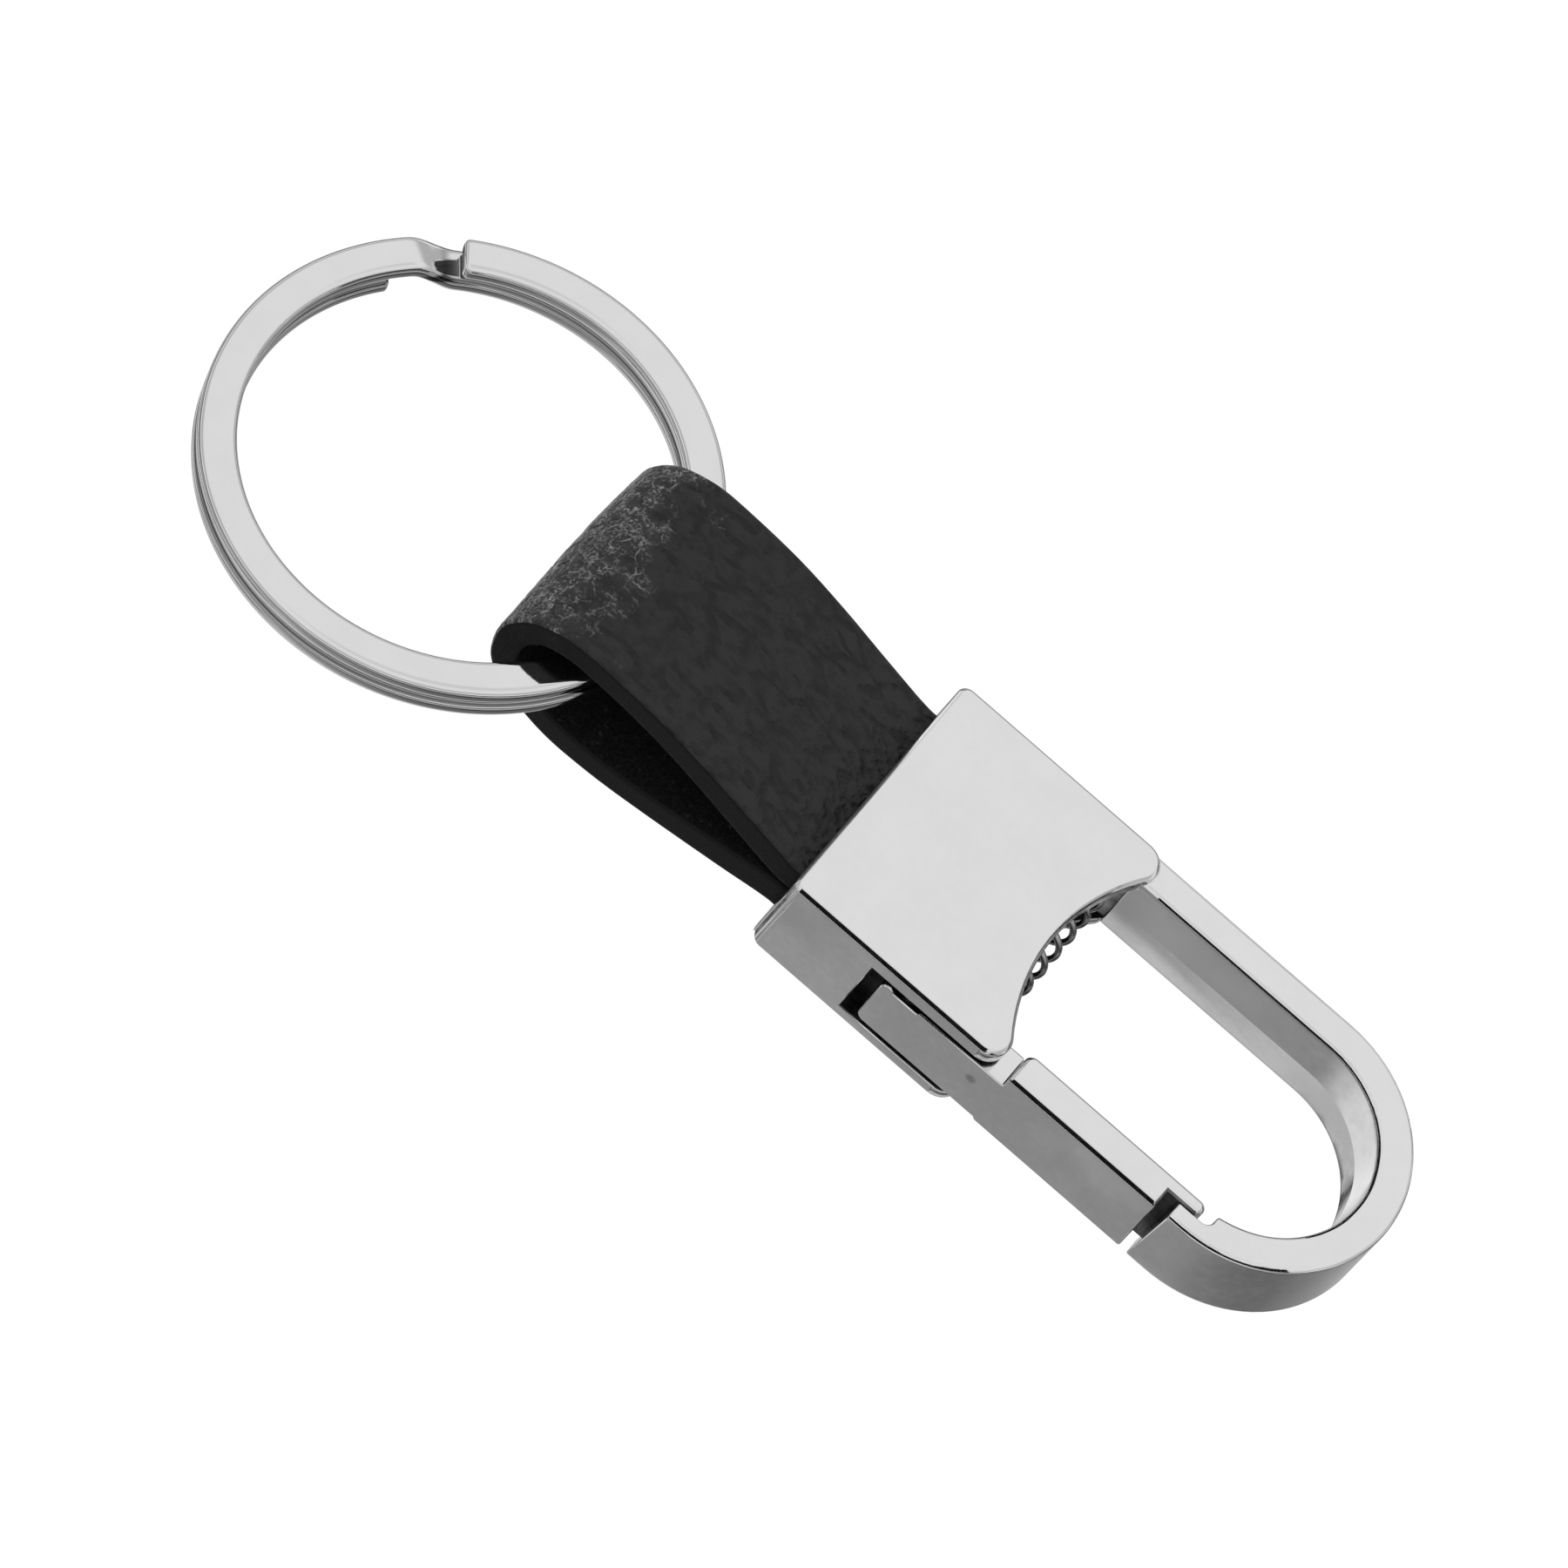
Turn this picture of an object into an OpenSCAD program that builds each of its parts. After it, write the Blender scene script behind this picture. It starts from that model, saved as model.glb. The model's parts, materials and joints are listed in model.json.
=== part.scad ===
// Carabiner keyring: a split ring in a folded leather strap, held in a die-cast
// clasp whose hook is closed by a sprung gate.
// Origin: centre of the housing's flat underside. +X towards the hook's bend,
// +Z out of the plain front face, and the gate is on the -Y side.

/* [Housing] */
// Length of the housing along X
housing_l = 16; // [14:0.5:20]
// Width of the housing and of the hook
housing_w = 18.8; // [18:0.2:22]
// Height of the housing
housing_h = 7.75; // [7.4:0.05:8]
// Thickness of the bottom plate
bottom_plate = 1.1; // [1:0.1:1.2]
// Thickness of the top plate
top_plate = 1.25; // [1.1:0.05:1.3]
// Radius of the two front horns
horn_r = 1.4; // [1:0.1:1.6]
// Radius of the rear vertical corners
rear_r = 0.7; // [0.4:0.1:1]
// How deep the concave front edge of the top plate is
top_scoop = 2.25; // [1.5:0.05:2.6]
// How far the bottom plate's horns stay behind the top plate's
bottom_setback = 0.6; // [0.2:0.1:1]
// How deep the concave front edge of the bottom plate is
bottom_scoop = 2.9; // [2:0.1:3.2]

/* [Hook] */
// X of the centre of the hook's round bend
bend_x = 22.55; // [21:0.05:26]
// Width of the hook's bar
bar_w = 2.35; // [2.2:0.05:2.6]
// Height of the hook's and the gate's bar
bar_h = 6.2; // [5.6:0.1:6.4]
// Rounding of the bar's four long edges
bar_r = 0.35; // [0.2:0.05:0.5]
// How far the parting ridge stands proud on the hook's inner face
ridge = 0.25; // [0.1:0.05:0.3]
// Gap between the gate's nose and the hook's tip
tip_gap = 0.95; // [0.6:0.05:1.2]
// Lean of the tip's end face, in degrees
tip_lean = 3.3; // [0:0.1:4]

/* [Gate] */
// Width of the gate lever
gate_w = 2.5; // [2.3:0.05:2.6]
// X of the step between the gate's tail and its bar
gate_step_x = 9.1; // [9:0.1:10]
// X of the flat nose of the gate's bar
gate_nose_x = 20.5; // [19:0.1:20.6]
// Length of the tongue past the nose
tongue_l = 2.4; // [2:0.1:2.5]
// Thickness of the tongue
tongue_w = 1.05; // [0.9:0.05:1.1]
// X of the hinge pin
pivot_x = 1.6; // [1.4:0.1:2]
// Distance of the hinge pin from the gate's outer face
pivot_inset = 1.3; // [1.2:0.05:1.35]
// Radius of the hinge pin
pivot_r = 0.65; // [0.5:0.05:0.7]
// Radial running clearance of the gate on its pin
running = 0.05; // [0.02:0.01:0.1]
// Free space above and below the gate's tail in its slot
tail_gap = 0.35; // [0.1:0.05:0.4]

/* [Spring] */
// Mean radius of the coil
coil_r = 1.3; // [1.2:0.05:1.4]
// Diameter of the wire
wire_d = 0.36; // [0.3:0.02:0.4]
// Number of open turns
open_turns = 8.5; // [7:0.5:9.5]

/* [Strap] */
// Width of the leather
strap_w = 14.8; // [14:0.1:15]
// Thickness of one ply of leather at the fold
strap_t = 2; // [1.8:0.05:2]
// Thickness of one ply of leather at the housing
strap_root_t = 2.3; // [2:0.05:2.4]
// Radius of the two pins that hold the leather
strap_pin_r = 0.6; // [0.4:0.05:0.7]

/* [Split ring] */
// Outer diameter of the ring
ring_d = 32; // [30:0.5:34]
// Width of the flat wire
ring_band = 2.4; // [2:0.1:2.6]
// Thickness of one layer of the ring
ring_layer = 1.33; // [1:0.01:1.33]
// Tilt of the ring as it rests, strap side up, in degrees
ring_tilt = 10; // [6:0.5:12]

/* [Hidden] */
$fn = 96;

eps = 0.01;                        // overlap that keeps cuts clean
past = 3;                          // how far a cut runs past a face
rear_x = -housing_l / 2;
front_x = housing_l / 2;
side_y = housing_w / 2;
bar_inset = 0.5;                   // from the front face down to the top of the hook's bar
bar_z = housing_h - bar_inset - bar_h; // underside of the hook and the gate's bar

// Inside the housing
cavity_z = bottom_plate + 0.05;    // floor of the gate's slot and spring chamber
cavity_top = housing_h - top_plate;
slot_x = -1.2;                     // rear wall of the gate's slot
slot_w = 4.3;                      // depth of that slot from the near side
chamber_x = 2.5;                   // rear wall of the spring chamber, clear of the gate's boss
chamber_y = side_y - 1.8;          // far wall that the spring pushes on
web = 1.4;                         // wall between the strap's mouth and the slot
mouth_w = strap_w + 0.4;
mouth_top = housing_h - 1.2;
bottom_r = 1;                      // rounding of the housing's rear bottom edge

// Hook
bend_outer = side_y;
bend_inner = side_y - bar_w;
bar_root_x = 7.3;                  // where the hook's bar leaves the chamber's far wall
nib_w = 1.3;                       // outer half of the tip, that the tongue hides behind
notch_r = 0.6;
notch_l = 2.3;                     // from the tip's end to the wall that faces the tongue

// Gate, hinge and spring
tail_x = slot_x + 1;
tail_r = 0.6;
relief_r = 1.6;                    // thinned ring round the pin, on top of the tail
relief_h = 0.3;
pivot_y = -side_y + pivot_inset;
pin_top = housing_h - 0.5;         // pins stop short of the plain front face
gate_inner_y = -side_y + gate_w;
spring_x = 5.4;
spring_z = (cavity_z + cavity_top) / 2;
spring_gap = 0.03;                 // air at each end of the coil
boss_r = 0.85;
boss_l = 0.8;
spring_y0 = gate_inner_y + spring_gap + wire_d / 2;
spring_y1 = chamber_y - spring_gap - wire_d / 2;
closed_pitch = wire_d + 0.02;
wire_sides = 8;
turn_steps = 18;

// Strap: outer face in the X-Z plane, from the upper end round the fold to the lower end
strap_end_x = slot_x - web - 0.2;
ply_gap = 0.2;
upper_z = (bottom_plate + mouth_top) / 2 + ply_gap / 2 + strap_root_t;
lower_z = (bottom_plate + mouth_top) / 2 - ply_gap / 2 - strap_root_t;
strap_outer = [
  [-6, upper_z], [-8.4, upper_z], [-12, 7.1], [-16, 8.15], [-20, 8.95], [-24, 9.3],
  [-27, 9.2], [-29.5, 8.1], [-30.85, 5.95], [-30.9, 3.75], [-30.15, 1.7], [-28.2, 0.2],
  [-25, -0.75], [-21.5, -0.75], [-17, -0.15], [-12, 0.7], [-8.4, lower_z], [-6, lower_z]
];
thin_x = -21;                      // from here to the fold's end, the leather has its fold thickness
curve_steps = 5;
strap_pin_x = -5.3;
strap_pin_y = 4.2;

// Split ring
ring_r = ring_d / 2;
ring_center = [-38.9, 0.5, 3.65];  // centre of the ring's upper face
layer_gap = 0.04;
upper_end = 124;                   // where the upper layer starts, in degrees
crimp_end = 139;                   // where the wire has climbed back to the upper layer
lower_end = 142;                   // where the lower layer ends
ring_step = 6;

// ---------- curves ----------

// A point on the smooth curve through p1 and p2, with neighbours p0 and p3
function spline(p0, p1, p2, p3, t) =
  0.5 * (2 * p1 + (p2 - p0) * t + (2 * p0 - 5 * p1 + 4 * p2 - p3) * t * t
    + (3 * p1 - p0 - 3 * p2 + p3) * t * t * t);

function smooth(pts, steps) = [
  for (i = [1:len(pts) - 3], k = [0:steps - 1])
    spline(pts[i - 1], pts[i], pts[i + 1], pts[i + 2], k / steps),
  pts[len(pts) - 2]
];

function ease(t) = let(u = min(max(t, 0), 1)) u * u * (3 - 2 * u);

function ply(x) = strap_root_t + (strap_t - strap_root_t) * ease((x - rear_x) / (thin_x - rear_x));

// Inner face of the leather: the outer one moved to its left by the thickness there
function inner_face(pts) = [
  for (i = [0:len(pts) - 1])
    let(
      v = pts[min(i + 1, len(pts) - 1)] - pts[max(i - 1, 0)],
      n = [-v[1], v[0]] / norm(v)
    ) pts[i] + ply(pts[i][0]) * n
];

// Closed tube through rings of points, each listed clockwise as seen looking along the tube
module tube(rings) {
  n = len(rings[0]);
  last = len(rings) - 1;
  polyhedron(
    points = [for (ring = rings, p = ring) p],
    faces = concat(
      [[for (k = [0:n - 1]) k]],
      [[for (k = [n - 1:-1:0]) last * n + k]],
      [for (i = [0:last - 1], k = [0:n - 1])
        let(a = i * n + k, b = i * n + (k + 1) % n) [b, a, a + n]],
      [for (i = [0:last - 1], k = [0:n - 1])
        let(a = i * n + k, b = i * n + (k + 1) % n) [b, a + n, b + n]]
    ),
    convexity = 10
  );
}

// ---------- housing and hook ----------

// Plan of a plate: rounded rear corners, and a concave front between two round horns
module plate_plan(front, scoop) {
  horn_x = front - horn_r;
  horn_y = side_y - horn_r;
  a = horn_r - scoop;
  scoop_r = (a * a + horn_y * horn_y - horn_r * horn_r) / (2 * (horn_r - a));
  scoop_x = front - scoop + scoop_r;
  reach = horn_r / (horn_r + scoop_r);
  tangent = [horn_x + reach * (scoop_x - horn_x), horn_y * (1 - reach)];
  difference() {
    union() {
      translate([rear_x + rear_r, -side_y]) square([horn_x - rear_x - rear_r, housing_w]);
      translate([rear_x, -side_y + rear_r]) square([rear_r + eps, housing_w - 2 * rear_r]);
      polygon([
        [horn_x - eps, -horn_y], tangent - [0, 2 * tangent[1]], tangent, [horn_x - eps, horn_y]
      ]);
    }
    translate([scoop_x, 0]) circle(scoop_r);
  }
  for (s = [-1, 1]) {
    translate([horn_x, s * horn_y]) circle(horn_r);
    translate([rear_x + rear_r, s * (side_y - rear_r)]) circle(rear_r);
  }
}

// Side view of the housing, with its rear bottom edge rounded
module housing_side() {
  translate([rear_x + bottom_r, 0]) square([housing_l, housing_h]);
  translate([rear_x, bottom_r]) square([housing_l, housing_h - bottom_r]);
  translate([rear_x + bottom_r, bottom_r]) circle(bottom_r);
}

module housing_block() {
  intersection() {
    union() {
      linear_extrude(cavity_top) plate_plan(front_x - bottom_setback, bottom_scoop);
      translate([0, 0, cavity_top - eps])
        linear_extrude(top_plate + eps) plate_plan(front_x, top_scoop);
    }
    translate([0, side_y + past, 0]) rotate([90, 0, 0])
      linear_extrude(housing_w + 2 * past) housing_side();
  }
}

// Pocket at the rear for the two plies of leather
module strap_mouth() {
  translate([rear_x - past, -mouth_w / 2, bottom_plate])
    cube([slot_x - web - rear_x + past, mouth_w, mouth_top - bottom_plate]);
}

// Slot for the gate's tail, open to the near side and the front, and the spring's chamber
module gate_cavity() {
  translate([slot_x, -side_y - past, cavity_z])
    cube([housing_l, slot_w + past, cavity_top - cavity_z]);
  translate([chamber_x, -side_y, cavity_z])
    cube([housing_l, side_y + chamber_y, cavity_top - cavity_z]);
}

// Section of the hook's bar: x is the distance from the hook's centre line, y is the height
module bar_section() {
  translate([bend_inner + bar_r, bar_z]) square([bar_w - 2 * bar_r, bar_h]);
  translate([bend_inner, bar_z + bar_r]) square([bar_w, bar_h - 2 * bar_r]);
  for (x = [bend_inner + bar_r, bend_outer - bar_r], z = [bar_z + bar_r, bar_z + bar_h - bar_r])
    translate([x, z]) circle(bar_r);
  polygon([
    [bend_inner + eps, bar_z + bar_r], [bend_inner - ridge, bar_z + bar_h / 2],
    [bend_inner + eps, bar_z + bar_h - bar_r]
  ]);
}

module straight_bar(x0, x1) {
  translate([x0, 0, 0]) rotate([90, 0, 90]) linear_extrude(x1 - x0) bar_section();
}

// Cuts the tip's leaning end face, and the notch for the gate's tongue behind the nib
module tip_cuts() {
  tip_x = gate_nose_x + tip_gap;
  translate([tip_x, -side_y - past, bar_z + bar_h]) rotate([0, tip_lean, 0])
    translate([-2 * past, 0, -2 * bar_h])
      cube([2 * past, bar_w + 2 * past, 3 * bar_h]);
  notch_y = -side_y + nib_w;
  translate([0, 0, bar_z - past]) linear_extrude(bar_h + 2 * past) {
    translate([tip_x - past, notch_y])
      square([past + notch_l - notch_r, bar_w + past]);
    translate([tip_x - past, notch_y + notch_r])
      square([past + notch_l, bar_w + past]);
    translate([tip_x + notch_l - notch_r, notch_y + notch_r]) circle(notch_r);
  }
}

// Straight on the far side, round the bend and back to the tip on the near side
module hook() {
  straight_bar(bar_root_x, bend_x);
  translate([bend_x, 0, 0]) rotate([0, 0, -90]) rotate_extrude(angle = 180) bar_section();
  mirror([0, 1, 0]) straight_bar(gate_nose_x, bend_x);
}

module pin_hole(x, y, r) {
  translate([x, y, -past]) cylinder(r = r, h = pin_top + past);
}

module clasp_body() {
  color("gainsboro") difference() {
    union() {
      difference() {
        housing_block();
        strap_mouth();
        gate_cavity();
      }
      difference() {
        hook();
        tip_cuts();
      }
    }
    pin_hole(pivot_x, pivot_y, pivot_r);
    for (s = [-1, 1]) pin_hole(strap_pin_x, s * strap_pin_y, strap_pin_r);
  }
}

// ---------- gate ----------

module gate_tail() {
  tail_z = cavity_z + tail_gap;
  tail_h = cavity_top - cavity_z - 2 * tail_gap;
  tail_l = gate_step_x - tail_x;
  translate([0, gate_inner_y, 0]) rotate([90, 0, 0]) linear_extrude(gate_w) {
    translate([tail_x + tail_r, tail_z]) square([tail_l - tail_r + eps, tail_h]);
    translate([tail_x, tail_z + tail_r]) square([tail_r + eps, tail_h - 2 * tail_r]);
    for (z = [tail_z + tail_r, tail_z + tail_h - tail_r])
      translate([tail_x + tail_r, z]) circle(tail_r);
  }
}

// Plan of the bar, with the inner corner at its step rounded, and of the tongue
module gate_bar_plan() {
  corner = 0.6;
  tongue_r = tongue_w / 2;
  translate([gate_step_x, -side_y])
    square([gate_nose_x - gate_step_x, gate_w - corner]);
  translate([gate_step_x + corner, gate_inner_y - corner - eps])
    square([gate_nose_x - gate_step_x - corner, corner + eps]);
  translate([gate_step_x + corner, gate_inner_y - corner]) circle(corner);
  translate([gate_nose_x - eps, gate_inner_y - tongue_w])
    square([tongue_l - tongue_r + eps, tongue_w]);
  translate([gate_nose_x + tongue_l - tongue_r, gate_inner_y - tongue_r]) circle(tongue_r);
}

module gate_lever() {
  color("silver") difference() {
    union() {
      gate_tail();
      translate([0, 0, bar_z]) linear_extrude(bar_h) gate_bar_plan();
      translate([spring_x, gate_inner_y - eps, spring_z]) rotate([-90, 0, 0])
        cylinder(r = boss_r, h = boss_l + eps);
    }
    translate([pivot_x, pivot_y, 0]) cylinder(r = pivot_r + running, h = housing_h);
    translate([pivot_x, pivot_y, cavity_top - tail_gap - relief_h])
      cylinder(r = relief_r, h = past);
  }
}

module gate_pivot_pin() {
  color("slategray") translate([pivot_x, pivot_y, 0]) cylinder(r = pivot_r, h = pin_top);
}

// Compression coil along Y, with one closed turn at each end
module gate_spring() {
  open_l = spring_y1 - spring_y0 - 2 * closed_pitch;
  turns = open_turns + 2;
  function coil_y(t) =
    t < 1 ? closed_pitch * t
    : t > turns - 1 ? closed_pitch * (t - turns + 2) + open_l
    : closed_pitch + open_l * (t - 1) / open_turns;
  color("darkgray") translate([spring_x, spring_y0, spring_z]) tube([
    for (i = [0:turns * turn_steps])
      let(t = i / turn_steps, a = 360 * t)
      [for (k = [0:wire_sides - 1])
        let(b = 360 * k / wire_sides, r = coil_r + wire_d / 2 * cos(b))
        [r * cos(a), coil_y(t) + wire_d / 2 * sin(b), r * sin(a)]]
  ]);
}

// ---------- strap and ring ----------

module strap_profile() {
  outer = smooth(strap_outer, curve_steps);
  inner = inner_face(outer);
  polygon(concat(
    [[strap_end_x, upper_z]], outer, [[strap_end_x, lower_z]],
    [[strap_end_x, lower_z + strap_root_t]],
    [for (i = [len(inner) - 1:-1:0]) inner[i]],
    [[strap_end_x, upper_z - strap_root_t]]
  ));
}

module leather_strap() {
  color("#262626") difference() {
    translate([0, strap_w / 2, 0]) rotate([90, 0, 0]) linear_extrude(strap_w) strap_profile();
    for (s = [-1, 1]) pin_hole(strap_pin_x, s * strap_pin_y, strap_pin_r);
  }
}

module strap_pin(side) {
  color("slategray") translate([strap_pin_x, side * strap_pin_y, 0])
    cylinder(r = strap_pin_r, h = pin_top);
}

module strap_pin_near() { strap_pin(-1); }
module strap_pin_far() { strap_pin(1); }

// Flat wire in two turns: clockwise on the upper layer, down the crimp, and on below
module split_ring() {
  drop = ring_layer + layer_gap;
  upper_sweep = 360 - crimp_end + upper_end;
  crimp = crimp_end - upper_end;
  lower_sweep = 360 - lower_end + upper_end;
  sweeps = concat(
    [for (a = [0:ring_step:upper_sweep - 1]) a],
    [for (a = [0:1 / 6:1]) upper_sweep + a * crimp],
    [for (a = [ring_step:ring_step:lower_sweep - 1]) 360 + a],
    [360 + lower_sweep]
  );
  color("lightgray") translate(ring_center) rotate([0, -ring_tilt, 0]) tube([
    for (s = sweeps)
      let(a = upper_end - s, top = -drop * ease((s - upper_sweep) / crimp))
      [for (p = [
        [ring_r, top], [ring_r - ring_band, top],
        [ring_r - ring_band, top - ring_layer], [ring_r, top - ring_layer]
      ]) [p[0] * cos(a), p[0] * sin(a), p[1]]]
  ]);
}

split_ring();
leather_strap();
clasp_body();
gate_lever();
gate_pivot_pin();
gate_spring();
strap_pin_near();
strap_pin_far();
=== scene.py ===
"""Carabiner keyring: the looks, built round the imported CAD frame. Lengths are in metres."""

import json
import math

import bmesh
import bpy
from mathutils import Matrix, Vector, noise


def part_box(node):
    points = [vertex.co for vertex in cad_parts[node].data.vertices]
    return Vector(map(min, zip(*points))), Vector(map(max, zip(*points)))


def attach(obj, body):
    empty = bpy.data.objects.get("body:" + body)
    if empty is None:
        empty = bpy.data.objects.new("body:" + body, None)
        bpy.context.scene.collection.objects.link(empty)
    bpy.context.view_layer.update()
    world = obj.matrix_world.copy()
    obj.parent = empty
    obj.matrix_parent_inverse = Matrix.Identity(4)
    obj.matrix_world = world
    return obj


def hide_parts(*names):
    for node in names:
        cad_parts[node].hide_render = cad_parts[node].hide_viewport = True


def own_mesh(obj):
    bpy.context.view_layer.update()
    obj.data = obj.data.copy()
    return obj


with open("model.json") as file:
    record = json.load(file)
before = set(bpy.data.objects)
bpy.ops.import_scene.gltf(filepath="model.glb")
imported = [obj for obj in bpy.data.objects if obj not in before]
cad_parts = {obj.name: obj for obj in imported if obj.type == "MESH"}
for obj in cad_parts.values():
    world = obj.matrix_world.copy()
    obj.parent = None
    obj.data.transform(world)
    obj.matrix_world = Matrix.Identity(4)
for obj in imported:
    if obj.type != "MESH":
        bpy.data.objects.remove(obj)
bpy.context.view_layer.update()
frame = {"nodes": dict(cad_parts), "record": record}

MM = 0.001
NOISE_SEED = 7           # without one, the noise that warps the grain differs each run

# Camera: a long lens above the near side, rolled so that the keyring runs down to the right
VIEW_ELEVATION = math.radians(56.9)
VIEW_AZIMUTH = math.radians(-0.82)
VIEW_ROLL = math.radians(41.67)
VIEW_TARGET = Vector((-12.25, -5.93, 9.97)) * MM
VIEW_WIDTH = 92.06 * MM
LENS = 600.0
SENSOR = 36.0

# Stage
FLOOR_Z = -32 * MM       # below the ring when it hangs straight down
FLOOR_HALF = 1.6
FLOOR_GLOW = 0.80        # so that the floor looks white under the soft light
PALE = 0.985             # tone of the room at eye level
DARK = 0.04              # tone of its dark strips
CARD_GAP = 1.6           # from an edge to the black card that it mirrors, in millimetres
CARD_FROM = math.radians(2)     # lowest and highest angle of a card, seen from its edge
CARD_TO = math.radians(56)
CARD_STEPS = 8
BEND_STEPS = 12          # of a card that follows the hook's bend
NEAR_BEND, FAR_BEND = 48, 115   # how far round the bend the two cards go, in degrees
BAR_WIDTH = 2.35         # of the hook's bar, seen from above, in millimetres

# Castings
TOUCH = 0.01 * MM        # how near to a plane counts as on it
TOP_FILLET = 0.29 * MM
BOTTOM_FILLET = 0.35 * MM
SMALL_FILLET = 0.1 * MM
SHARP_ANGLE = math.radians(50)
PIN_HOLE_REACH = 0.9 * MM      # from a pin's axis, edges are the rim of its hole
REAR_ROUNDING_X = -6.99 * MM   # behind this, the underside rounds up
REAR_ROUNDING_H = 0.6 * MM
HOLLOW_Z = (1.09 * MM, 6.56 * MM)   # the housing's hollows lie between these heights
RIDGE_ANGLES = (math.radians(7), math.radians(12))   # the hook's inner ridge stays crisp
BLEMISH = (7.42, -9.4, 4.5)   # small dark spot on the gate, in millimetres
BLEMISH_R = 0.5
GATE_NOSE_X = 20.5 * MM     # where the gate's bar ends and its tongue starts
FAR_WALL_Y = 6.9 * MM       # past this, the walls of the spring's chamber get a lighter painted shade, as if they catch light
SIDE_SHADE = 0.16              # how much darker the sides of the castings are painted in random patches: painted shade
PIN_RIM = [(0.14, 0.0), (0.06, 0.03), (0.015, 0.09), (0.0, 0.16)]   # inset and height, in millimetres

# Strap, in millimetres
STRAP_STEP = 0.16
GRAIN_CORNER = 0.35
FLESH_CORNER = 0.2
STRAP_FREE_X = -9.0      # from here to the fold the leather is out of the housing
TWIST = 0.25             # how much the far side rises, and the near side sinks
FOLD_X = -24.0           # where the bend round the ring starts
FOLD_SKEW = 0.4          # how far back the fold's far side lies

# Split ring, in millimetres, about the centre of its upper face
RING_R = 16.0
RING_BAND = 2.4
RING_LAYER = 1.33
RING_DROP = RING_LAYER + 0.04
RING_TILT = math.radians(10)
UPPER_END = 124          # degrees
CRIMP_END = 137
CRIMP_FOOT = 0.8         # degrees of wire already down beside the upper end
LOWER_END = 142
RING_CORNER = 0.5
RING_END_ROUNDING = 0.34
RING_STEP = 2            # degrees
GROOVE_SHADE = 0.9        # how much darker the groove between the two turns is painted: painted shade

# Gate spring, in millimetres
COIL_R = 1.2
WIRE_R = 0.22
COIL_AXIS = (5.4, 3.825)
COIL_START_Y = -6.66
COIL_END_Y = 7.36
OPEN_TURNS = 8.5
CLOSED_PITCH = 0.38
COIL_STEPS = 36          # sections in a turn
WIRE_STEPS = 12


# ---------- meshes ----------

def object_from(name, points, faces):
    """A smooth-shaded mesh object from points in millimetres."""
    mesh = bpy.data.meshes.new(name)
    mesh.from_pydata([tuple(Vector(p) * MM) for p in points], [], faces)
    mesh.polygons.foreach_set("use_smooth", [True] * len(mesh.polygons))
    piece = bpy.data.objects.new(name, mesh)
    bpy.context.scene.collection.objects.link(piece)
    return piece


def tube(name, rings):
    """A closed tube through rings of points, with its two ends filled."""
    n = len(rings[0])
    last = len(rings) - 1
    faces = [
        (i * n + k, i * n + (k + 1) % n, (i + 1) * n + (k + 1) % n, (i + 1) * n + k)
        for i in range(last) for k in range(n)
    ]
    faces.append(tuple(range(n - 1, -1, -1)))
    faces.append(tuple(last * n + k for k in range(n)))
    return object_from(name, [p for ring in rings for p in ring], faces)


def ease(t):
    """Smooth step from 0 to 1."""
    t = min(max(t, 0.0), 1.0)
    return t * t * (3 - 2 * t)


def flat_where_flat(piece):
    """Keeps large flat faces flat beside their fillets."""
    weighted = piece.modifiers.new("flat_faces", "WEIGHTED_NORMAL")
    weighted.mode = "FACE_AREA"
    weighted.weight = 100
    weighted.keep_sharp = True


def belongs(piece, body, node):
    """Puts a piece on its body, in place of its CAD node."""
    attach(piece, body)
    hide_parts(node)


# ---------- castings and pins ----------

def at_pin_hole(edge):
    """True for the rim of a pin's hole."""
    middle = (edge.verts[0].co + edge.verts[1].co) / 2
    for node in ("gate_pivot_pin", "strap_pin_near", "strap_pin_far"):
        low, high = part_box(node)
        if (middle.xy - ((low + high) / 2).xy).length < PIN_HOLE_REACH:
            return True
    return False


def fillet_weight(edge, low, high):
    """Share of the largest fillet that a sharp edge of a casting gets, even along each chain."""
    z = [v.co.z for v in edge.verts]
    if at_pin_hole(edge):
        return 0.0
    if min(z) > high.z - TOUCH:
        return TOP_FILLET / BOTTOM_FILLET
    rear = max(v.co.x for v in edge.verts) < REAR_ROUNDING_X
    if max(z) < low.z + TOUCH or rear and max(z) < low.z + REAR_ROUNDING_H:
        return 1.0
    return SMALL_FILLET / BOTTOM_FILLET


def hidden_inside(face, low, high):
    """True for the walls of the housing's slot, chamber and mouth."""
    at = face.calc_center_median()
    inset = 5 * TOUCH
    if at.xy.dot(face.normal.xy) > -low.x - inset:
        return False      # on the outline of the housing
    within = low.x + inset < at.x < -low.x - 2 * inset and abs(at.y) < high.y - inset
    return within and HOLLOW_Z[0] < at.z < HOLLOW_Z[1]


def in_the_gap(face):
    """True for the gate's faces that look into the gap at the hook's tip."""
    at = face.calc_center_median()
    end = face.normal.x > 0.9 and abs(at.x - GATE_NOSE_X) < 5 * TOUCH
    return end or (at.x > GATE_NOSE_X and face.normal.y < -0.9)


def finish_index(face, node, low, high):
    """0 for plating, 1 for hollows and gaps in dark painted shade, 2 for the far wall of the spring's
    chamber in lighter painted shade.
    """
    if node != "clasp_body":
        return int(in_the_gap(face))
    if not hidden_inside(face, low, high):
        return 0
    return 2 if face.calc_center_median().y > FAR_WALL_Y else 1


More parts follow.
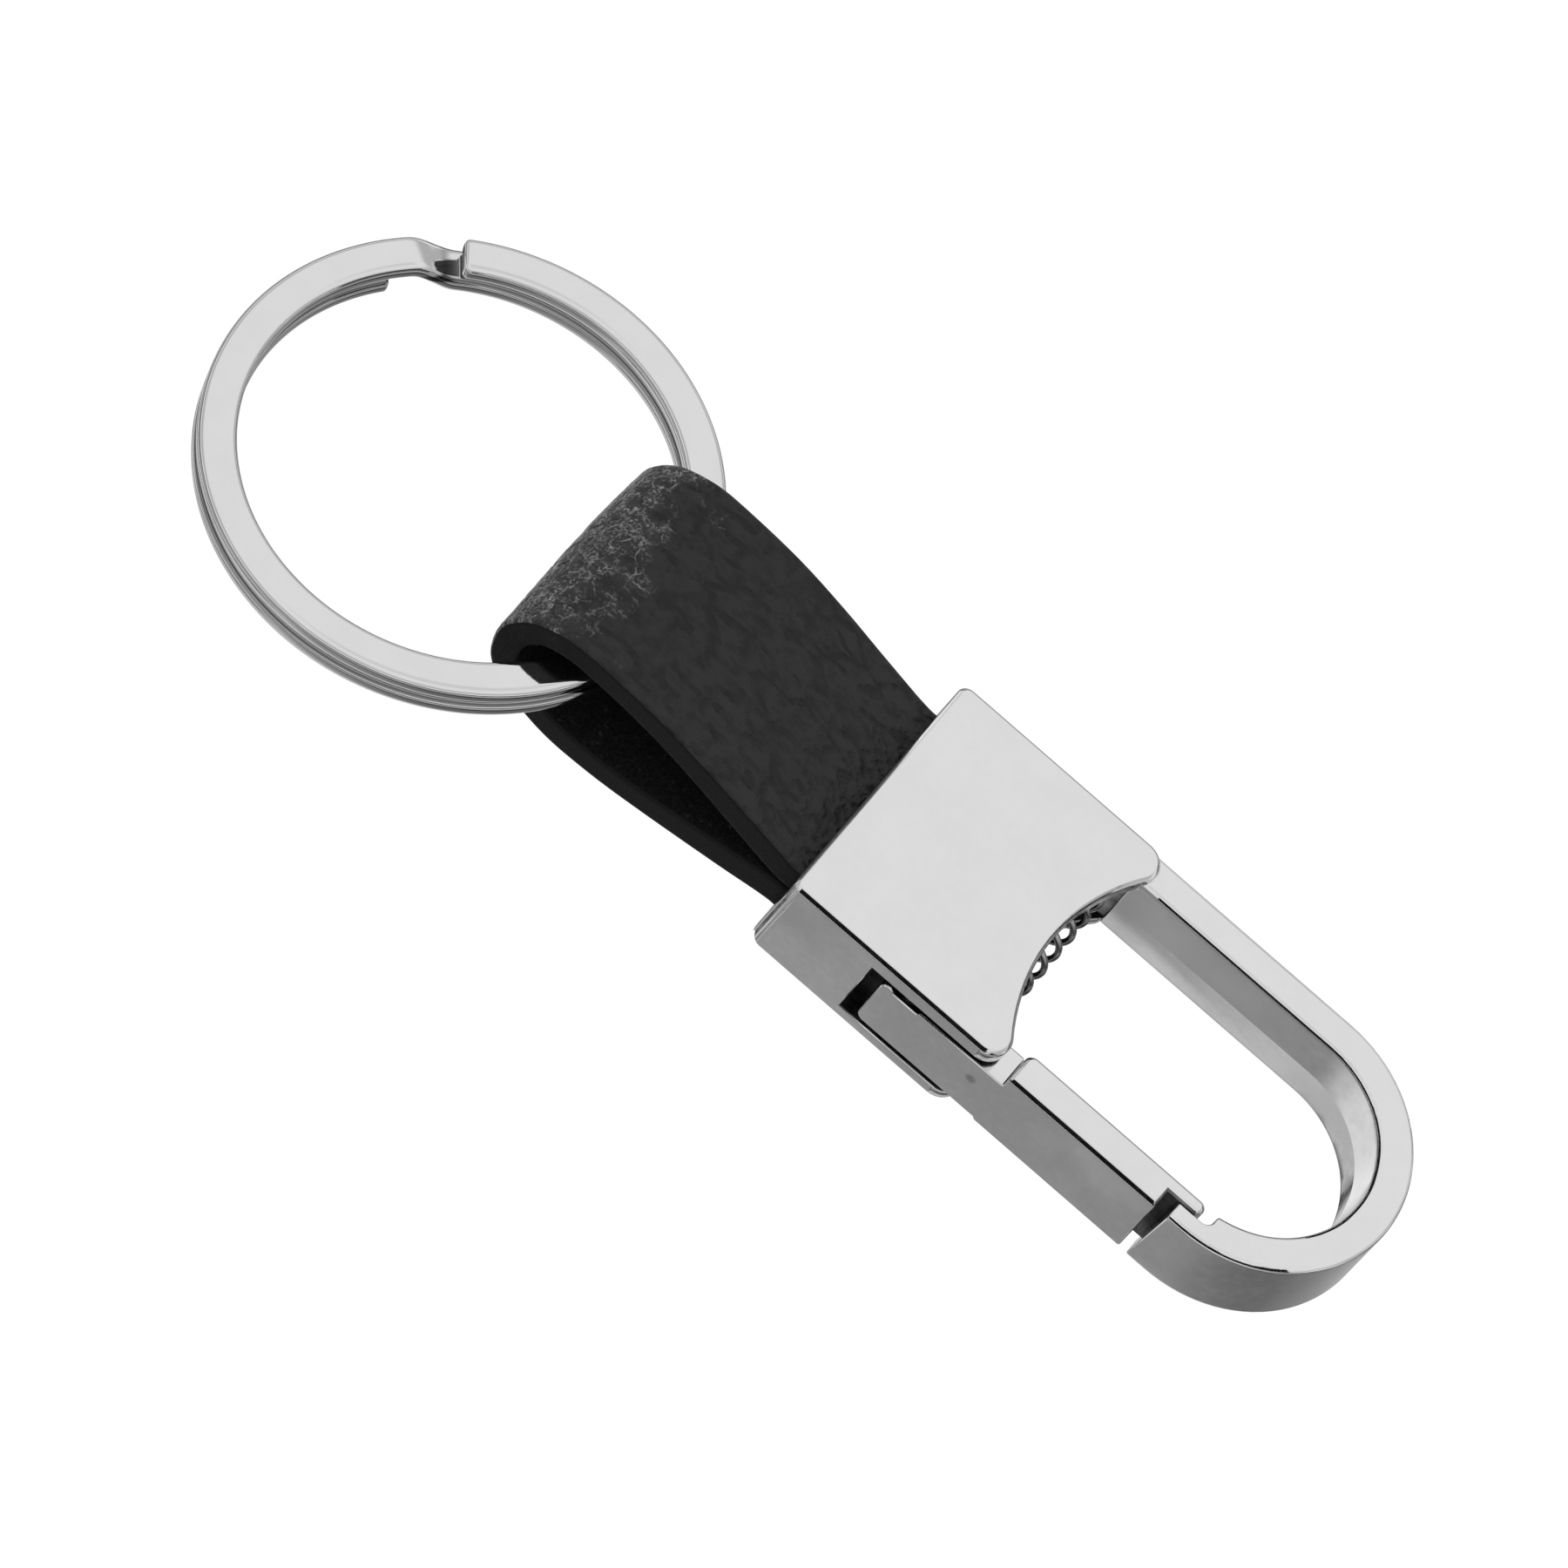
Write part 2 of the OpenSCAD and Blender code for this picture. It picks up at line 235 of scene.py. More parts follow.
def weighted_form(node):
    """The node's own shape, with coplanar triangles joined and its sharp edges weighted."""
    form = bmesh.new()
    form.from_mesh(frame["nodes"][node].data)
    bmesh.ops.remove_doubles(form, verts=form.verts, dist=2 * TOUCH)
    bmesh.ops.dissolve_limit(
        form, angle_limit=math.radians(0.4), verts=form.verts, edges=form.edges
    )
    low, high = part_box(node)
    for face in form.faces:
        face.smooth = True
        face.material_index = finish_index(face, node, low, high)
    weight = form.edges.layers.float.new("bevel_weight_edge")
    for edge in form.edges:
        angle = edge.calc_face_angle(0)
        outside = any(face.material_index == 0 for face in edge.link_faces)
        if angle > SHARP_ANGLE and outside:
            edge[weight] = fillet_weight(edge, low, high)
        edge.smooth = not RIDGE_ANGLES[0] < angle < RIDGE_ANGLES[1]
    return form


def casting(node, name):
    """A casting of the node's shape with filleted edges."""
    form = weighted_form(node)
    mesh = bpy.data.meshes.new(name)
    form.to_mesh(mesh)
    form.free()
    piece = bpy.data.objects.new(name, mesh)
    bpy.context.scene.collection.objects.link(piece)
    bevel = piece.modifiers.new("fillets", "BEVEL")
    bevel.limit_method = "WEIGHT"
    bevel.width = BOTTOM_FILLET
    bevel.segments = 5
    bevel.profile = 0.28
    bevel.miter_outer = "MITER_ARC"
    bevel.use_clamp_overlap = False
    flat_where_flat(piece)
    return piece


def turned_pin(node, name):
    """A turned pin on the node's axis, with a small rounded rim at both ends."""
    low, high = (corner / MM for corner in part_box(node))
    centre = (low + high) / 2
    r = (high.x - low.x) / 2
    profile = [(r - q, low.z + h) for q, h in PIN_RIM]
    profile += [(r - q, high.z - h) for q, h in reversed(PIN_RIM)]
    turns = [math.tau * k / 40 for k in range(40)]
    piece = tube(name, [
        [(centre.x + q * math.cos(a), centre.y + q * math.sin(a), z) for a in turns]
        for q, z in profile
    ])
    flat_where_flat(piece)
    return piece


# ---------- strap ----------

def side_loop(node):
    """The outline of the node's near side, as one loop of (x, z) points in millimetres."""
    form = bmesh.new()
    form.from_mesh(frame["nodes"][node].data)
    bmesh.ops.remove_doubles(form, verts=form.verts, dist=0.002 * MM)
    side = {face for face in form.faces if face.normal.y < -0.99}
    beside = {}
    for edge in {edge for face in side for edge in face.edges}:
        if sum(face in side for face in edge.link_faces) == 1:
            a, b = edge.verts
            beside.setdefault(a, []).append(b)
            beside.setdefault(b, []).append(a)
    start = max(beside, key=lambda v: (round(v.co.x, 5), v.co.z))
    loop = [start, beside[start][0]]
    while True:
        a, b = beside[loop[-1]]
        following = b if a is loop[-2] else a
        if following is start:
            break
        loop.append(following)
    points = [(v.co.x / MM, v.co.z / MM) for v in loop]
    form.free()
    return points


def even_ends(line):
    """The line with its long straight ends split, so that a smooth curve stays on them."""
    out = [line[0]]
    for a, b in zip(line, line[1:]):
        count = 8 if math.dist(a, b) > 2.5 else 1
        out += [tuple(Vector(a).lerp(b, k / count)) for k in range(1, count + 1)]
    return out


def strap_lines():
    """The leather's grain face and flesh face seen from the side, from end to end."""
    loop = side_loop("leather_strap")
    end = max(x for x, _ in loop) - 0.01
    if loop[1][0] > end:
        loop = loop[:1] + loop[:0:-1]
    turn = min((i for i, p in enumerate(loop) if p[0] > end), key=lambda i: loop[i][1])
    return even_ends(loop[:turn + 1]), even_ends(loop[:turn:-1])


def along(line, t):
    """Point at the fraction t of a line's points, on a smooth curve through them."""
    s = min(max(t, 0.0), 1.0) * (len(line) - 1)
    i = min(int(s), len(line) - 2)
    u = s - i
    p0, p1, p2, p3 = (Vector(line[min(max(k, 0), len(line) - 1)]) for k in range(i - 1, i + 3))
    return 0.5 * (
        2 * p1 + (p2 - p0) * u + (2 * p0 - 5 * p1 + 4 * p2 - p3) * u * u
        + (3 * p1 - p0 - 3 * p2 + p3) * u ** 3
    )


def even_steps(line, step):
    """Fractions of a line's points that are about one step apart along it."""
    lengths = [0.0]
    for a, b in zip(line, line[1:]):
        lengths.append(lengths[-1] + math.dist(a, b))
    count = round(lengths[-1] / step)
    fractions, i = [], 0
    for k in range(count + 1):
        s = lengths[-1] * k / count
        while i < len(line) - 2 and lengths[i + 1] < s:
            i += 1
        u = (s - lengths[i]) / (lengths[i + 1] - lengths[i])
        fractions.append((i + u) / (len(line) - 1))
    return fractions


def arc(cy, cd, r, start, count=4):
    """Points of a quarter circle in the strap's section."""
    return [
        (cy + r * math.cos(start + math.pi / 2 * k / count),
         cd + r * math.sin(start + math.pi / 2 * k / count))
        for k in range(count + 1)
    ]


def spread(a, b, count):
    """Evenly spaced values between two others, without them."""
    return [a + (b - a) * k / count for k in range(1, count)]


def strap_section(half, t):
    """Section of the leather: (y, depth below the grain) pairs, with the part each starts."""
    g, f = GRAIN_CORNER, FLESH_CORNER
    across = round(2 * half / STRAP_STEP)
    parts = [
        ("grain", arc(-half + g, g, g, math.pi)[1:]),
        ("grain", [(y, 0.0) for y in spread(-half + g, half - g, across)]),
        ("grain", arc(half - g, g, g, -math.pi / 2)[:-1]),
        ("edge", [(half, d) for d in [g] + spread(g, t - f, 8)]),
        ("edge", arc(half - f, t - f, f, 0, 3)),
        ("flesh", [(y, t) for y in spread(half - f, -half + f, across // 2)]),
        ("edge", arc(-half + f, t - f, f, math.pi / 2, 3)),
        ("edge", [(-half, d) for d in spread(t - f, g, 8) + [g]]),
    ]
    return [(kind, y, d) for kind, points in parts for y, d in points]


def crease(p, cell, width):
    """From 0 to 1, how deep a point lies in wavy creases about a cell apart."""
    return ease(1 - abs(noise.noise(p / cell)) / width)


def wrinkle(p):
    """How far the grain lies below the strap's plain surface at a point."""
    slanted = Vector((0.5 * p.x - 0.25 * p.y, p.y, 0.8 * p.z))
    warped = slanted + 0.35 * noise.noise_vector(p * 0.6)
    patch = ease(0.5 + 1.6 * noise.noise(p * 0.31))
    depth = 0.05 + 0.05 * noise.noise(p * 0.45)
    depth += (0.015 + 0.03 * patch) * crease(warped, 1.5, 0.16)
    fold = ease((FOLD_X + 1 - p.x) / 4)
    across = Vector((p.x * 2.6, p.y * 0.9, p.z * 2.6)) + 0.5 * noise.noise_vector(p * 1.6)
    depth += fold * (0.05 * abs(noise.noise(across)) + 0.03 * abs(noise.noise(p * 2.8)))
    return max(depth, 0.0)


def settled(x, y, z, half):
    """A point of the strap after its small twist: the far side higher, its fold end back."""
    side = y / half
    free = ease((STRAP_FREE_X - x) / 12)
    skew = FOLD_SKEW * max(side, 0.0) ** 2 * ease((FOLD_X - x) / 5)
    return (x + skew, y, z + TWIST * side * free)


def strap():
    """The leather strip, folded round the ring, with its creased grain and its cut edges."""
    low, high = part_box("leather_strap")
    half = (high.y - low.y) / 2 / MM
    grain, flesh = strap_lines()
    rings, kinds = [], []
    for t in even_steps(grain, STRAP_STEP):
        outer, inner = along(grain, t), along(flesh, t)
        thick = (inner - outer).length
        down = (inner - outer) / thick
        section = strap_section(half, thick)
        ring = []
        for kind, y, d in section:
            at = outer + down * d
            if kind == "grain":
                fade = ease((half + 0.1 - abs(y)) / 0.7)
                at = at + down * fade * wrinkle(Vector((at.x, y, at.y)))
            ring.append(settled(at.x, y, at.y, half))
        rings.append(ring)
        kinds = [kind for kind, _, _ in section]
    piece = tube("leather_strip", rings)
    paints = {"grain": 0, "edge": 1, "flesh": 2}
    n = len(kinds)
    body = n * (len(rings) - 1)
    slots = [paints[kinds[i % n]] if i < body else 1 for i in range(body + 2)]
    piece.data.polygons.foreach_set("material_index", slots)
    return piece


# ---------- ring and spring ----------

def wire_section(inset):
    """Section of the ring's flat wire with rounded edges: (radius, height) pairs."""
    r = max(RING_CORNER - inset, 0.03)
    x0, x1 = RING_R - RING_BAND + inset, RING_R - inset
    z0, z1 = -RING_LAYER + inset, -inset
    corners = [
        (x1 - r, z1 - r, 0), (x0 + r, z1 - r, 90), (x0 + r, z0 + r, 180), (x1 - r, z0 + r, 270),
    ]
    return [
        (x + r * math.cos(math.radians(a + 18 * k)), z + r * math.sin(math.radians(a + 18 * k)))
        for x, z, a in corners for k in range(6)
    ]


def ring_stations():
    """Where the wire's sections stand: (degrees travelled, inset of the section)."""
    upper = 360 - CRIMP_END + UPPER_END
    total = 720 - LOWER_END + UPPER_END
    r = RING_END_ROUNDING
    rounding = [
        (math.degrees(r / RING_R) * (1 - math.sin(a)), r * (1 - math.cos(a)))
        for a in (math.radians(b) for b in (0, 22, 45, 67, 90))
    ]
    stations = sorted(rounding)
    s = RING_STEP
    while s < total - RING_STEP / 2:
        stations.append((s, 0.0))
        s += RING_STEP / 2 if upper - 3 < s < 363 else RING_STEP
    stations += sorted((total - q[0], q[1]) for q in rounding)
    return upper, stations


def split_ring():
    """Flat wire in two turns: one above, down the crimp, and one below."""
    upper, stations = ring_stations()
    crimp = CRIMP_END - UPPER_END
    rings = []
    for s, inset in stations:
        angle = math.radians(UPPER_END - s)
        top = -RING_DROP * ease((s - upper) / (crimp - CRIMP_FOOT))
        rings.append([
            (r * math.cos(angle), r * math.sin(angle), top + z) for r, z in wire_section(inset)
        ][::-1])
    piece = tube("split_ring_wire", rings)
    # the two cut ends take the second material, dark metal as painted shade
    for end in piece.data.polygons[-2:]:
        end.material_index = 1
    key_ring = next(m for m in frame["record"]["mounts"] if m["name"] == "key_ring")
    piece.matrix_world = (
        Matrix.Translation(key_ring["pos_m"]) @ Matrix.Rotation(-RING_TILT, 4, "Y")
    )
    flat_where_flat(piece)
    return piece


def spring():
    """Compression coil along Y, with one closed turn at each end."""
    turns = OPEN_TURNS + 2
    open_l = COIL_END_Y - COIL_START_Y - 2 * CLOSED_PITCH

    def coil_y(t):
        if t < 1:
            return CLOSED_PITCH * t
        if t > turns - 1:
            return CLOSED_PITCH * (t - turns + 2) + open_l
        return CLOSED_PITCH + open_l * (t - 1) / OPEN_TURNS

    rings = []
    for i in range(round(turns * COIL_STEPS) + 1):
        a = math.tau * i / COIL_STEPS
        ring = []
        for k in range(WIRE_STEPS):
            b = math.tau * k / WIRE_STEPS
            r = COIL_R + WIRE_R * math.cos(b)
            y = COIL_START_Y + coil_y(i / COIL_STEPS) + WIRE_R * math.sin(b)
            ring.append((COIL_AXIS[0] + r * math.cos(a), y, COIL_AXIS[1] + r * math.sin(a)))
        rings.append(ring)
    return tube("spring_coil", rings)


# ---------- node helpers ----------

def plug(tree, socket, value):
    """Links a socket, or sets its value."""
    if isinstance(value, bpy.types.NodeSocket):
        tree.links.new(value, socket)
    else:
        socket.default_value = value


def made(tree, kind, inputs, **settings):
    """A new node with its settings and inputs."""
    new = tree.nodes.new(kind)
    for name, value in settings.items():
        setattr(new, name, value)
    for name, value in inputs.items():
        plug(tree, new.inputs[name], value)
    return new


def maths(tree, operation, a, b=0.0):
    return made(tree, "ShaderNodeMath", {0: a, 1: b}, operation=operation).outputs[0]


def product(tree, first, *others):
    for other in others:
        first = maths(tree, "MULTIPLY", first, other)
    return first


def remap(tree, value, low, high, to_low=0.0, to_high=1.0):
    """Smoothly maps a value's range to another."""
    inputs = {"Value": value, "From Min": low, "From Max": high, "To Min": to_low, "To Max": to_high}
    return made(tree, "ShaderNodeMapRange", inputs, interpolation_type="SMOOTHSTEP").outputs[0]


def window(tree, value, start, full, still_full, end):
    """Rises smoothly from 0 to 1, stays there, and falls to 0 again."""
    return product(tree, remap(tree, value, start, full), remap(tree, value, end, still_full))


def blend(tree, share, a, b):
    """Value between a and b."""
    inputs = {0: share, 2: a, 3: b}
    return made(tree, "ShaderNodeMix", inputs, data_type="FLOAT").outputs[0]


def grey(tree, value):
    inputs = {"Red": value, "Green": value, "Blue": value}
    return made(tree, "ShaderNodeCombineColor", inputs).outputs[0]


def millimetres(tree, scale=(1, 1, 1)):
    """The point on the piece, in millimetres, stretched by the scale."""
    coordinates = tree.nodes.new("ShaderNodeTexCoord")
    size = tuple(s / MM for s in scale)
    inputs = {0: coordinates.outputs["Object"], 1: size}
    return made(tree, "ShaderNodeVectorMath", inputs, operation="MULTIPLY").outputs[0]


def fog(tree, vector, scale, detail=2.0, roughness=0.5):
    """Soft noise; the scale is in waves per millimetre."""
    inputs = {"Vector": vector, "Scale": scale, "Detail": detail, "Roughness": roughness}
    return made(tree, "ShaderNodeTexNoise", inputs).outputs[0]


def warped(tree, vector, scale, amount):
    """The vector moved about by a noise."""
    shift = made(tree, "ShaderNodeTexNoise", {"Vector": vector, "Scale": scale, "Detail": 2.0})
    centred = made(
        tree, "ShaderNodeVectorMath", {0: shift.outputs["Color"], 1: (0.5, 0.5, 0.5)},
        operation="SUBTRACT",
    ).outputs[0]
    inputs = {0: centred, 1: (amount,) * 3, 2: vector}
    return made(tree, "ShaderNodeVectorMath", inputs, operation="MULTIPLY_ADD").outputs[0]


def cracks(tree, vector, scale, width):
    """1 on a network of lines, 0 in the cells between them."""
    inputs = {"Vector": vector, "Scale": scale}
    edges = made(tree, "ShaderNodeTexVoronoi", inputs, feature="DISTANCE_TO_EDGE")
    return remap(tree, edges.outputs["Distance"], 0.0, width, 1.0, 0.0)


def bump(tree, height, distance, normal=None):
    inputs = {"Height": height, "Distance": distance, "Strength": 1.0}
    if normal is not None:
        inputs["Normal"] = normal
    return made(tree, "ShaderNodeBump", inputs).outputs[0]


def finish(name, sockets):
    """A material with one Principled shader, and its node tree and shader."""
    material = bpy.data.materials.new(name)
    material.use_nodes = True
    shader = material.node_tree.nodes["Principled BSDF"]
    for socket, value in sockets.items():
        shader.inputs[socket].default_value = value
    return material, material.node_tree, shader


# ---------- materials ----------

def groove_shade(tree, plain, up, height):
    """From 0 to 1, how much painted shade darkens a groove at a height, on all but level faces."""
    z = made(tree, "ShaderNodeSeparateXYZ", {0: plain}).outputs["Z"]
    away = maths(tree, "ABSOLUTE", maths(tree, "SUBTRACT", z, height))
    near = remap(tree, away, 0.14, 0.40, GROOVE_SHADE, 0.0)
    return product(tree, near, remap(tree, up, 0.97, 0.75))


def metal(name, base, rough, streaks, blemish=None, groove=None):
    """Polished plated metal with faint clouds, waves and scratches; its sides painted darker in random
    patches, and a given groove painted darker, as painted shade.
    """
    material, tree, shader = finish(name, {"Metallic": 1.0})
    plain = millimetres(tree)
    cloud = fog(tree, plain, 0.35, 4.0, 0.6)
    tone = remap(tree, cloud, 0.3, 0.7, base - 0.01, base + 0.01)
    if blemish:
        inputs = {0: plain, 1: blemish}
        away = made(tree, "ShaderNodeVectorMath", inputs, operation="DISTANCE").outputs["Value"]
        tone = product(tree, tone, remap(tree, away, 0.3 * BLEMISH_R, BLEMISH_R, 0.6, 1.0))
    normal = tree.nodes.new("ShaderNodeTexCoord").outputs["Normal"]
    up = maths(tree, "ABSOLUTE", made(tree, "ShaderNodeSeparateXYZ", {0: normal}).outputs["Z"])
    side = maths(tree, "SUBTRACT", 1.0, up)
    # painted shade: the sides, not the level faces, darker in random patches
    side_shade = remap(tree, fog(tree, plain, 0.13, 2.0, 0.5), 0.36, 0.64, 0.0, SIDE_SHADE)
    dull = product(tree, side, side_shade)
    if groove:
        # painted shade in the groove between the ring's two turns
        dull = maths(tree, "MAXIMUM", dull, groove_shade(tree, plain, up, groove))
    tone = product(tree, tone, maths(tree, "SUBTRACT", 1.0, dull))
    plug(tree, shader.inputs["Base Color"], grey(tree, tone))
    worn = fog(tree, plain, 1.7, 3.0)
    plug(tree, shader.inputs["Roughness"], remap(tree, worn, 0.3, 0.75, rough * 0.8, rough * 1.35))
    waves = bump(tree, fog(tree, plain, 0.16, 1.0), 0.03 * MM)
    lines = fog(tree, millimetres(tree, streaks), 1.0, 3.0)
    plug(tree, shader.inputs["Normal"], bump(tree, lines, 0.0008 * MM, waves))
    return material


def shaded_metal(name, base):
    """Dull dark metal as painted shade: inside the casting, in the gap at the gate's nose and on the
    ring's cut ends.
    """
    material, tree, shader = finish(name, {"Metallic": 1.0})
    worn = fog(tree, millimetres(tree), 1.5, 4.0, 0.6)
    tone = remap(tree, worn, 0.3, 0.7, base, 2 * base)
    plug(tree, shader.inputs["Base Color"], grey(tree, tone))
    plug(tree, shader.inputs["Roughness"], remap(tree, worn, 0.3, 0.7, 0.35, 0.5))
    return material


def grain_creases(tree, plain):
    """Irregular short creases of the grain, longer along the strip than across it."""
    inputs = {"Vector": plain, "Rotation": (0.0, 0.0, -0.3), "Scale": (0.45, 1.0, 0.8)}
    stretched = made(tree, "ShaderNodeMapping", inputs).outputs[0]
    coarse = cracks(tree, warped(tree, stretched, 0.9, 0.75), 0.85, 0.24)
    coarse = product(tree, coarse, remap(tree, fog(tree, plain, 0.8), 0.34, 0.62))
    fine = cracks(tree, warped(tree, stretched, 1.8, 0.4), 1.8, 0.36)
    fine = product(tree, fine, remap(tree, fog(tree, plain, 1.1), 0.42, 0.66, 0.0, 0.6))
    return maths(tree, "MAXIMUM", coarse, fine)


def worn_share(tree, plain, start, end):
    """From 0 to 1, how much the finish has cracked between two places along the bend."""
    x = made(tree, "ShaderNodeSeparateXYZ", {0: plain}).outputs["X"]
    edge = blend(tree, fog(tree, plain, 0.5, 3.0), -6.0, 6.0)
    return remap(tree, maths(tree, "ADD", x, edge), start, end)


def fold_cracks(tree, plain, worn):
    """Fine network of pale cracks broken into patches, and a few long ones that reach further."""
    fine = cracks(tree, warped(tree, plain, 3.0, 0.2), 3.2, 0.42)
    broken = remap(tree, fog(tree, plain, 1.3, 4.0, 0.65), 0.40, 0.60)
    specks = remap(tree, fog(tree, plain, 5.0), 0.42, 0.68)
    fine = product(tree, fine, broken, specks, worn)
    long = cracks(tree, warped(tree, plain, 1.6, 0.6), 0.75, 0.07)
    reach = worn_share(tree, plain, FOLD_X - 1.6, FOLD_X - 4.4)
    kept = remap(tree, fog(tree, plain, 2.0, 3.0), 0.44, 0.6, 0.0, 0.65)
    return maths(tree, "MAXIMUM", fine, product(tree, long, kept, reach))


def grain_leather():
    """Black finished leather: soft grain with its creases painted darker as painted shade, and pale
    cracks where it is bent round the ring.
    """
    material, tree, shader = finish("black_grain_leather", {
        "Specular IOR Level": 0.42, "Sheen Weight": 0.10, "Sheen Roughness": 0.3,
    })
    plain = millimetres(tree)
    creases = grain_creases(tree, plain)
    worn = worn_share(tree, plain, FOLD_X - 2.6, FOLD_X - 5.6)
    pale = fold_cracks(tree, plain, worn)
    # painted shade: the creases darker in colour, as well as sunk by the bump below
    tone = blend(tree, creases, 0.0088, 0.0020)
    tone = maths(tree, "ADD", tone, product(tree, worn, 0.008))
    plug(tree, shader.inputs["Base Color"], grey(tree, blend(tree, pale, tone, 0.34)))
    plug(tree, shader.inputs["Roughness"], blend(tree, worn, blend(tree, creases, 0.5, 0.62), 0.33))
    dips = bump(tree, maths(tree, "MAXIMUM", creases, pale), -0.14 * MM)
    dips = bump(tree, fog(tree, plain, 1.5, 3.0), 0.08 * MM, dips)
    plug(tree, shader.inputs["Normal"], bump(tree, fog(tree, plain, 7.0, 3.0), 0.012 * MM, dips))
    return material


def edge_leather():
    """Cut and burnished edge: darker, with faint fibres along the strip."""
    material, tree, shader = finish("leather_cut_edge", {"Specular IOR Level": 0.16})
    plain = millimetres(tree)
    fibres = fog(tree, plain, 4.0, 4.0, 0.65)
    plug(tree, shader.inputs["Base Color"], grey(tree, remap(tree, fibres, 0.3, 0.75, 0.002, 0.006)))
    plug(tree, shader.inputs["Roughness"], remap(tree, fibres, 0.3, 0.7, 0.5, 0.75))
    plug(tree, shader.inputs["Normal"], bump(tree, fibres, 0.02 * MM))
    return material


def flesh_leather():
    """Back of the leather: matt, dyed black, with pale loose fibres."""
    material, tree, shader = finish("leather_flesh_side", {"Specular IOR Level": 0.15})
    plain = millimetres(tree)
    nap = fog(tree, plain, 5.0, 5.0, 0.7)
    specks = remap(tree, fog(tree, plain, 2.6, 5.0, 0.65), 0.55, 0.78)
    tone = remap(tree, nap, 0.35, 0.65, 0.001, 0.011)
    plug(tree, shader.inputs["Base Color"], grey(tree, blend(tree, specks, tone, 0.045)))
    plug(tree, shader.inputs["Roughness"], remap(tree, nap, 0.3, 0.7, 0.8, 0.95))
    plug(tree, shader.inputs["Normal"], bump(tree, nap, 0.05 * MM))
    return material


def floor_material():
    """Plain pale floor with a faint glow of its own."""
    material, tree, shader = finish("pale_floor", {
        "Roughness": 1.0, "Specular IOR Level": 0.0,
        "Emission Color": (1.0, 1.0, 1.0, 1.0), "Emission Strength": FLOOR_GLOW,
    })
    faint = fog(tree, millimetres(tree), 0.02, 2.0)
    plug(tree, shader.inputs["Base Color"], grey(tree, remap(tree, faint, 0.2, 0.8, 0.295, 0.305)))
    return material


# ---------- stage ----------

def view_axes():
    """Right, up and back of the camera."""
    level = Vector((math.cos(VIEW_AZIMUTH), math.sin(VIEW_AZIMUTH), 0))
    back = Vector((
        math.sin(VIEW_AZIMUTH) * math.cos(VIEW_ELEVATION),
        -math.cos(VIEW_AZIMUTH) * math.cos(VIEW_ELEVATION),
        math.sin(VIEW_ELEVATION),
    ))
    right = math.cos(VIEW_ROLL) * level + math.sin(VIEW_ROLL) * back.cross(level)
    return right, back.cross(right), back


def camera():
    right, up, back = view_axes()
    data = bpy.data.cameras.new("camera")
    data.lens = LENS
    data.sensor_width = SENSOR
    eye = bpy.data.objects.new("camera", data)
    bpy.context.scene.collection.objects.link(eye)
    matrix = Matrix((right, up, back)).transposed().to_4x4()
    matrix.translation = VIEW_TARGET + VIEW_WIDTH * LENS / SENSOR * back
    eye.matrix_world = matrix
    bpy.context.scene.camera = eye


def room_above(tree, z):
    """Soft light overhead, dimmer towards the walls and straight above."""
    walls = remap(tree, z, 0.30, 0.62, 0.52, 0.88)
    return maths(tree, "ADD", walls, remap(tree, z, 0.86, 1.0, 0.0, -0.14))


def room_below(tree, x, y, z):
    """Under the object: bright on its ring side, dim on its hook side, with narrow dark strips."""
    left = remap(tree, x, -0.6, 0.05, 0.95, 0.33)
    side = maths(tree, "ADD", left, remap(tree, x, 0.05, 0.55, 0.0, -0.17))
    far = product(tree, maths(tree, "MAXIMUM", y, 0.0), 0.3)
    tone = maths(tree, "ADD", side, far)
    tone = blend(tree, remap(tree, z, -0.855, -0.90), tone, 0.60)
    tone = blend(tree, remap(tree, z, -0.62, -0.48), tone, 0.42)
    corner = product(tree, window(tree, z, -0.885, -0.87, -0.828, -0.812), remap(tree, x, -0.12, -0.3))
    tone = blend(tree, corner, tone, 1.5 * DARK)
    for strip in ((-0.70, -0.65, -0.59, -0.55), (-0.27, -0.24, -0.15, -0.12)):
        tone = blend(tree, window(tree, z, *strip), tone, DARK)
    return blend(tree, remap(tree, z, -0.10, -0.05), tone, PALE)


def room():
    """The studio round the object, given by direction."""
    world = bpy.data.worlds.new("studio")
    bpy.context.scene.world = world
    world.use_nodes = True
    tree = world.node_tree
    direction = tree.nodes.new("ShaderNodeTexCoord").outputs["Generated"]
    parts = made(tree, "ShaderNodeSeparateXYZ", {0: direction}).outputs
    x, y, z = parts["X"], parts["Y"], parts["Z"]
    high = blend(tree, remap(tree, z, 0.05, 0.15), PALE, room_above(tree, z))
    tone = blend(tree, remap(tree, z, -0.05, 0.0), room_below(tree, x, y, z), high)
    plug(tree, tree.nodes["Background"].inputs["Color"], grey(tree, tone))


def floor():
    """A wide plain floor, which the metals don't mirror."""
    s, z = FLOOR_HALF / MM, FLOOR_Z / MM
    ground = object_from("floor", [(-s, -s, z), (s, -s, z), (s, s, z), (-s, s, z)], [(0, 1, 2, 3)])
    ground.data.materials.append(floor_material())
    ground.visible_glossy = False


def edge_route(x0, x1, y, sweep, facing):
    """Points of a top edge along X and round the bend, each with the way that its side faces."""
    route = [(x0, y, 0.0, -1.0), (x1, y, 0.0, -1.0)]
    for k in range(1, BEND_STEPS + 1 if sweep else 1):
        t = math.radians(sweep) * k / BEND_STEPS
        at = (x1 + abs(y) * math.sin(t), y * math.cos(t))
        route.append(at + (facing * math.sin(t), -math.cos(t)))
    return route


